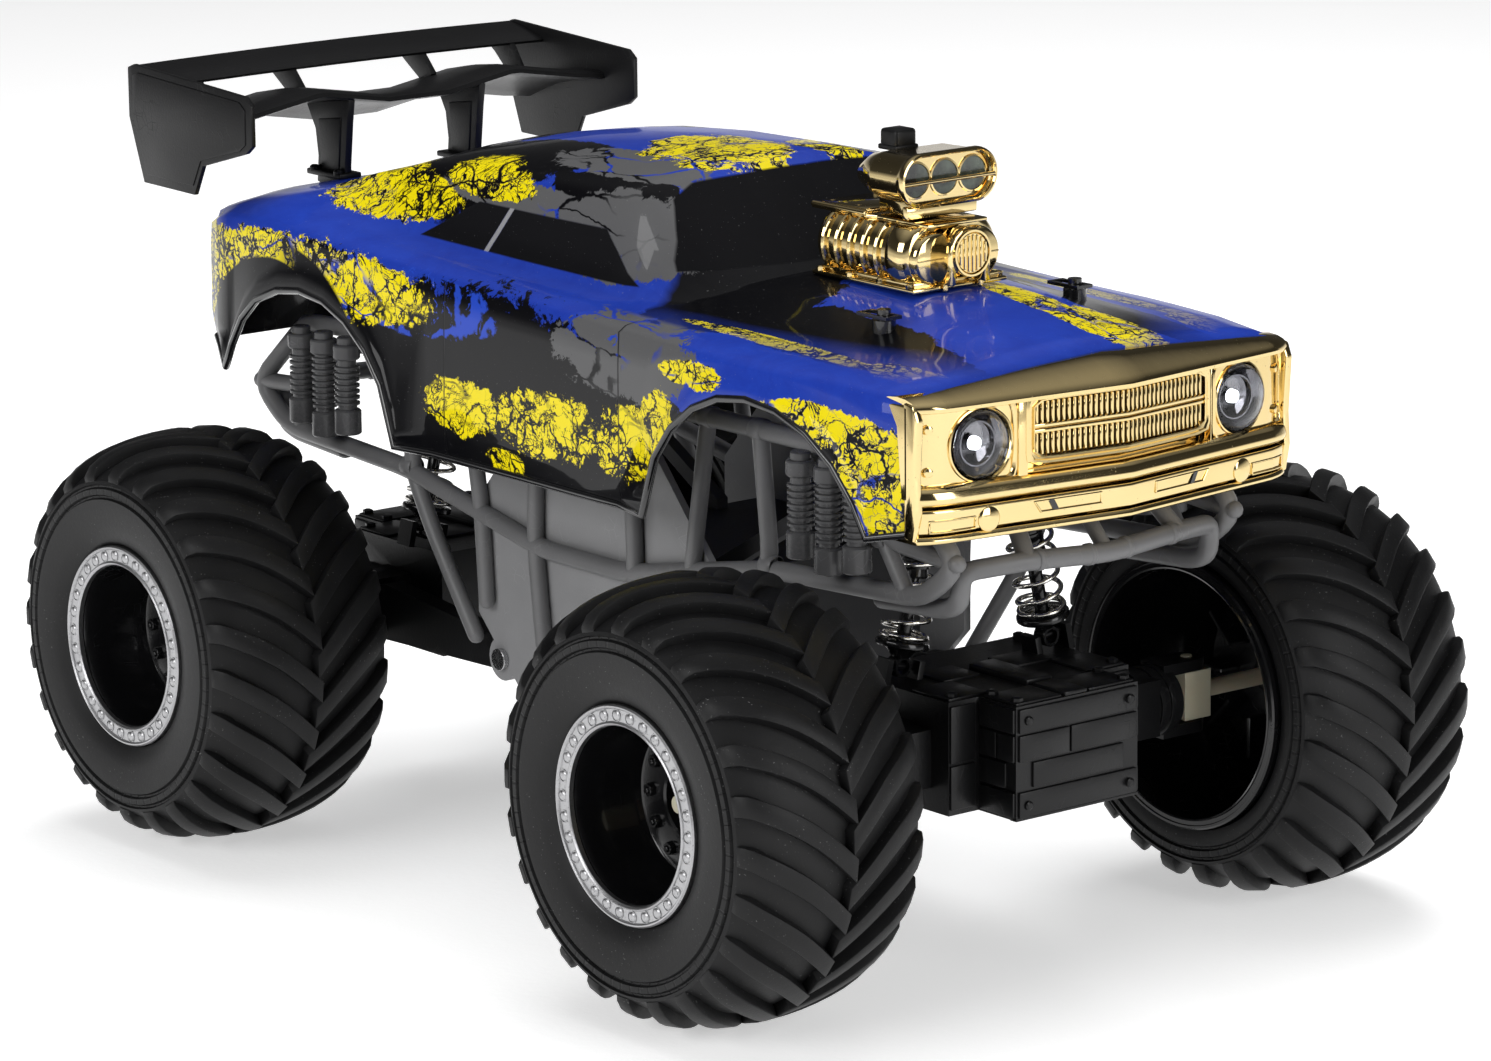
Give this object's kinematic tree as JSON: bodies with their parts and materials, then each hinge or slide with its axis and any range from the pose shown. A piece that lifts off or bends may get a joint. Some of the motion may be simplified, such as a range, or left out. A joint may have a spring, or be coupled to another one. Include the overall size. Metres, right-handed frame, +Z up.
{
  "type": "radio-controlled monster truck",
  "caption": "Toy monster truck with a muscle-car shell, roof-high wing, bonnet blower, tube frame, sprung axles, steering front wheels and geared rear drive.",
  "frame": {"origin": "middle of the truck's outline on the ground", "axes": "+X forward, +Y to the truck's left, +Z up"},
  "size_m": [0.467, 0.322, 0.277],
  "materials": {
    "painted_body": "glossy blue, yellow and black splatter paint",
    "black_gloss": "gloss black",
    "gold_chrome": "pale gold metal plating",
    "silver_chrome": "bright plating",
    "clear_lens": "clear plastic",
    "wing_black": "satin black",
    "frame_grey": "satin dark grey",
    "plate_grey": "satin grey",
    "tub_grey": "matt dark grey",
    "cell_wrap": "shrink wrap",
    "board_green": "circuit board lacquer",
    "door_black": "matt black",
    "trim_grey": "satin charcoal",
    "screw_steel": "machined steel",
    "axle_black": "satin black",
    "nylon": "natural nylon",
    "tyre_rubber": "black rubber",
    "rim_black": "gloss black",
    "ring_silver": "satin silver",
    "motor_can": "plated steel",
    "pinion_brass": "machined brass",
    "shock_black": "gloss black",
    "spring_wire": "bright spring wire"
  },
  "bodies": {
    "chassis": {"body_shell": "painted_body", "tail_panel": "black_gloss", "front_fascia": "gold_chrome", "headlight_reflectors": "silver_chrome", "headlight_lenses": "clear_lens", "blower_case": "gold_chrome", "air_scoop": "gold_chrome", "blower_pulley": "gold_chrome", "wing_blades": "wing_black", "wing_end_plates": "wing_black", "side_frame_right": "frame_grey", "side_frame_left": "frame_grey", "side_plate_right": "plate_grey", "side_plate_left": "plate_grey", "front_bumper": "plate_grey", "rear_hoop": "plate_grey", "cross_members": "tub_grey", "battery_box": "tub_grey", "battery_pack": "cell_wrap", "circuit_board": "board_green", "dummy_shocks": "trim_grey", "body_clips": "black_gloss", "chassis_screws": "screw_steel"},
    "battery_door": {"battery_door": "door_black"},
    "power_switch": {"power_switch": "door_black"},
    "front_axle": {"front_axle_housing": "axle_black", "steering_servo": "axle_black"},
    "servo_arm": {"servo_arm": "nylon"},
    "tie_rod": {"tie_rod": "nylon"},
    "steering_right": {"knuckle_right": "nylon"},
    "steering_left": {"knuckle_left": "nylon"},
    "front_wheel_right": {"front_tyre_right": "tyre_rubber", "front_rim_right": "rim_black", "front_ring_right": "ring_silver"},
    "front_wheel_left": {"front_tyre_left": "tyre_rubber", "front_rim_left": "rim_black", "front_ring_left": "ring_silver"},
    "rear_axle": {"rear_axle_housing": "axle_black", "drive_motor": "motor_can"},
    "motor_pinion": {"motor_pinion": "pinion_brass"},
    "idler_gear": {"idler_gear": "nylon"},
    "rear_wheels": {"axle_gear": "nylon", "rear_axle_shaft": "screw_steel", "rear_tyres": "tyre_rubber", "rear_rim_right": "rim_black", "rear_rim_left": "rim_black", "rear_rings": "ring_silver"},
    "front_shock_right": {"front_shock_body_right": "shock_black", "front_spring_right": "spring_wire"},
    "front_shock_rod_right": {"front_shock_rod_right": "shock_black"},
    "front_shock_left": {"front_shock_body_left": "shock_black", "front_spring_left": "spring_wire"},
    "front_shock_rod_left": {"front_shock_rod_left": "shock_black"},
    "rear_shock_right": {"rear_shock_body_right": "shock_black", "rear_spring_right": "spring_wire"},
    "rear_shock_rod_right": {"rear_shock_rod_right": "shock_black"},
    "rear_shock_left": {"rear_shock_body_left": "shock_black", "rear_spring_left": "spring_wire"},
    "rear_shock_rod_left": {"rear_shock_rod_left": "shock_black"}
  },
  "joints": [
    {"name": "front_suspension", "type": "hinge", "parent": "chassis", "child": "front_axle", "pos_m": [0.0635, 0, 0.072], "axis": [0, -1, 0], "range_deg": [0, 5.44], "stiffness_Nm_per_rad": 9, "springref_deg": -9.17},
    {"name": "rear_suspension", "type": "hinge", "parent": "chassis", "child": "rear_axle", "pos_m": [-0.0445, 0, 0.072], "axis": [0, 1, 0], "range_deg": [0, 5.44], "stiffness_Nm_per_rad": 9, "springref_deg": -9.17},
    {"name": "front_shock_tilt_right", "type": "hinge", "parent": "chassis", "child": "front_shock_right", "pos_m": [0.1465, -0.019, 0.165], "axis": [0, 0.9762, -0.2169], "range_deg": [-0.05, 3.3]},
    {"name": "front_shock_slide_right", "type": "slide", "parent": "front_shock_right", "child": "front_shock_rod_right", "axis": [0, 0.2169, 0.9762], "range_m": [-0.0001, 0.00793], "deforming": ["front_spring_right"]},
    {"name": "front_shock_tilt_left", "type": "hinge", "parent": "chassis", "child": "front_shock_left", "pos_m": [0.1465, 0.019, 0.165], "axis": [0, 0.9762, 0.2169], "range_deg": [-0.05, 3.3]},
    {"name": "front_shock_slide_left", "type": "slide", "parent": "front_shock_left", "child": "front_shock_rod_left", "axis": [0, -0.2169, 0.9762], "range_m": [-0.0001, 0.00793], "deforming": ["front_spring_left"]},
    {"name": "rear_shock_tilt_right", "type": "hinge", "parent": "chassis", "child": "rear_shock_right", "pos_m": [-0.1275, -0.019, 0.165], "axis": [0, -0.9762, 0.2169], "range_deg": [-0.05, 3.3]},
    {"name": "rear_shock_slide_right", "type": "slide", "parent": "rear_shock_right", "child": "rear_shock_rod_right", "axis": [0, 0.2169, 0.9762], "range_m": [-0.0001, 0.00793], "deforming": ["rear_spring_right"]},
    {"name": "rear_shock_tilt_left", "type": "hinge", "parent": "chassis", "child": "rear_shock_left", "pos_m": [-0.1275, 0.019, 0.165], "axis": [0, -0.9762, -0.2169], "range_deg": [-0.05, 3.3]},
    {"name": "rear_shock_slide_left", "type": "slide", "parent": "rear_shock_left", "child": "rear_shock_rod_left", "axis": [0, -0.2169, 0.9762], "range_m": [-0.0001, 0.00793], "deforming": ["rear_spring_left"]},
    {"name": "steer_right", "type": "hinge", "parent": "front_axle", "child": "steering_right", "pos_m": [0.1585, -0.087, 0.075], "axis": [0, 0, 1], "range_deg": [-18, 18]},
    {"name": "steer_left", "type": "hinge", "parent": "front_axle", "child": "steering_left", "pos_m": [0.1585, 0.087, 0.075], "axis": [0, 0, 1], "range_deg": [-18.1, 18.1]},
    {"name": "servo_arm_turn", "type": "hinge", "parent": "front_axle", "child": "servo_arm", "pos_m": [0.1585, 0, 0.075], "axis": [0, 0, 1], "range_deg": [-18.1, 18.1]},
    {"name": "tie_rod_slide", "type": "slide", "parent": "front_axle", "child": "tie_rod", "axis": [0, 1, 0], "range_m": [-0.0069, 0.0069]},
    {"name": "front_wheel_right_spin", "type": "hinge", "parent": "steering_right", "child": "front_wheel_right", "pos_m": [0.1585, -0.123, 0.075], "axis": [0, 1, 0], "continuous": true},
    {"name": "front_wheel_left_spin", "type": "hinge", "parent": "steering_left", "child": "front_wheel_left", "pos_m": [0.1585, 0.123, 0.075], "axis": [0, 1, 0], "continuous": true},
    {"name": "rear_wheels_spin", "type": "hinge", "parent": "rear_axle", "child": "rear_wheels", "pos_m": [-0.1395, 0, 0.075], "axis": [0, 1, 0], "continuous": true},
    {"name": "idler_spin", "type": "hinge", "parent": "rear_axle", "child": "idler_gear", "pos_m": [-0.15609, 0.022, 0.08104], "axis": [0, 1, 0], "continuous": true},
    {"name": "motor_spin", "type": "hinge", "parent": "rear_axle", "child": "motor_pinion", "pos_m": [-0.16858, 0.02, 0.07229], "axis": [0, 1, 0], "continuous": true},
    {"name": "battery_door_off", "type": "slide", "parent": "chassis", "child": "battery_door", "axis": [0, 0, -1], "range_m": [0, 0.03]},
    {"name": "power_switch_slide", "type": "slide", "parent": "chassis", "child": "power_switch", "axis": [1, 0, 0], "range_m": [0, 0.003]}
  ],
  "couplings": [
    {"joint": "front_shock_tilt_right", "follows": "front_suspension", "ratio": 0.5979},
    {"joint": "front_shock_slide_right", "follows": "front_suspension", "m_per_rad": 0.082479},
    {"joint": "front_shock_tilt_left", "follows": "front_suspension", "ratio": 0.5979},
    {"joint": "front_shock_slide_left", "follows": "front_suspension", "m_per_rad": 0.082479},
    {"joint": "rear_shock_tilt_right", "follows": "rear_suspension", "ratio": 0.5979},
    {"joint": "rear_shock_slide_right", "follows": "rear_suspension", "m_per_rad": 0.082479},
    {"joint": "rear_shock_tilt_left", "follows": "rear_suspension", "ratio": 0.5979},
    {"joint": "rear_shock_slide_left", "follows": "rear_suspension", "m_per_rad": 0.082479},
    {"joint": "steer_left", "follows": "steer_right", "ratio": 1},
    {"joint": "servo_arm_turn", "follows": "steer_right", "ratio": 1},
    {"joint": "tie_rod_slide", "follows": "steer_right", "m_per_rad": -0.0217},
    {"joint": "idler_spin", "follows": "rear_wheels_spin", "ratio": -3.4},
    {"joint": "motor_spin", "follows": "rear_wheels_spin", "ratio": 9.52}
  ]
}
